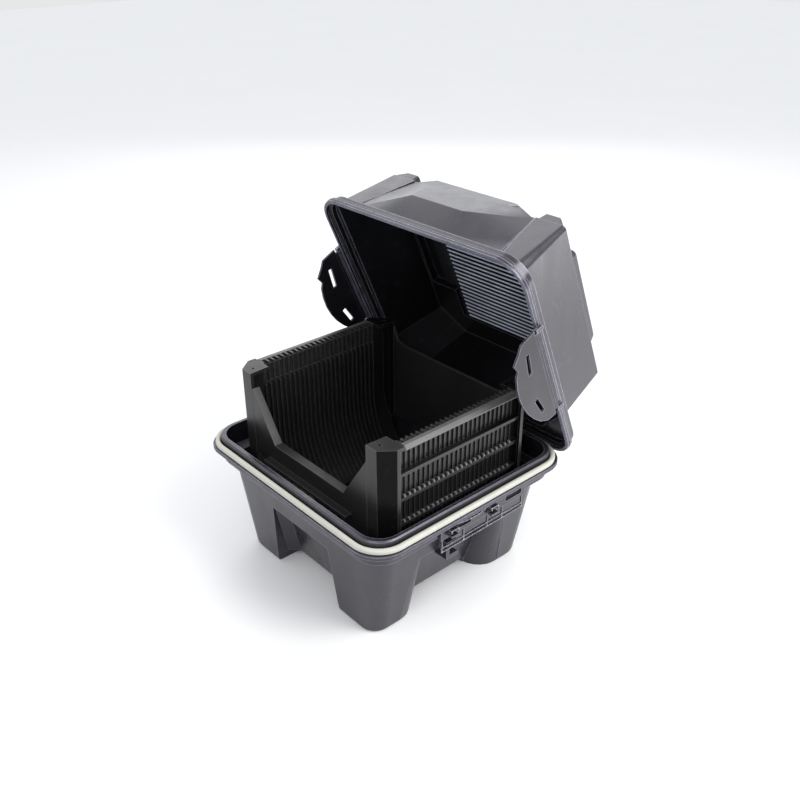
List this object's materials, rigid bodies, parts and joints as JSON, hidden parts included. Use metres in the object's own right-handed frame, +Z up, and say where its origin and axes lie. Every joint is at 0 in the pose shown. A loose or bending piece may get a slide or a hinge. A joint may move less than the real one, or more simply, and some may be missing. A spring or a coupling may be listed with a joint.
{
  "type": "wafer carrier storage box",
  "caption": "Legged storage box for a slotted wafer cassette, with a gasketed tub, a domed hinged lid, side latch flaps and a wafer retainer.",
  "frame": {"origin": "centre of the bounding box with the lid open, on the floor under the legs", "axes": "+X to the right seen from the front, +Y back towards the hinge, +Z up"},
  "size_m": [0.3044, 0.355, 0.3887],
  "materials": {
    "tub_plastic": "satin",
    "lid_plastic": "satin",
    "cassette_plastic": "satin",
    "seal_rubber": "matte",
    "rest_rubber": "matte",
    "pin_steel": "satin"
  },
  "bodies": {
    "base": {"base_tub": "tub_plastic", "gasket": "seal_rubber", "catch_rail_left": "tub_plastic", "catch_rail_right": "tub_plastic", "hinge_bracket_left": "tub_plastic", "hinge_bracket_right": "tub_plastic", "hinge_pin_left": "pin_steel", "hinge_pin_right": "pin_steel", "cassette_side_left": "cassette_plastic", "cassette_side_right": "cassette_plastic", "cassette_front_wall": "cassette_plastic", "cassette_rear_wall": "cassette_plastic", "cassette_foot_bar_front": "cassette_plastic", "cassette_foot_bar_rear": "cassette_plastic", "cassette_rest_front": "rest_rubber", "cassette_rest_rear": "rest_rubber"},
    "lid": {"lid_shell": "lid_plastic", "lid_hinge_arm_left": "lid_plastic", "lid_hinge_arm_right": "lid_plastic", "retainer_frame": "lid_plastic", "retainer_comb": "lid_plastic", "flap_bracket_left": "lid_plastic", "flap_bracket_right": "lid_plastic", "flap_pin_left": "pin_steel", "flap_pin_right": "pin_steel"},
    "latch_flap_left": {"latch_flap_left": "lid_plastic"},
    "latch_flap_right": {"latch_flap_right": "lid_plastic"}
  },
  "joints": [
    {"name": "lid_hinge", "type": "hinge", "parent": "base", "child": "lid", "pos_m": [0, 0.08903, 0.124], "axis": [1, 0, 0], "range_deg": [-8, 66.5]},
    {"name": "flap_right_hinge", "type": "hinge", "parent": "lid", "child": "latch_flap_right", "pos_m": [0.1503, 0.04423, 0.25337], "axis": [0, -0.3987, 0.9171], "range_deg": [-3.5, 40]},
    {"name": "flap_left_hinge", "type": "hinge", "parent": "lid", "child": "latch_flap_left", "pos_m": [-0.1503, 0.04423, 0.25337], "axis": [0, 0.3987, -0.9171], "range_deg": [-3.5, 40]}
  ]
}
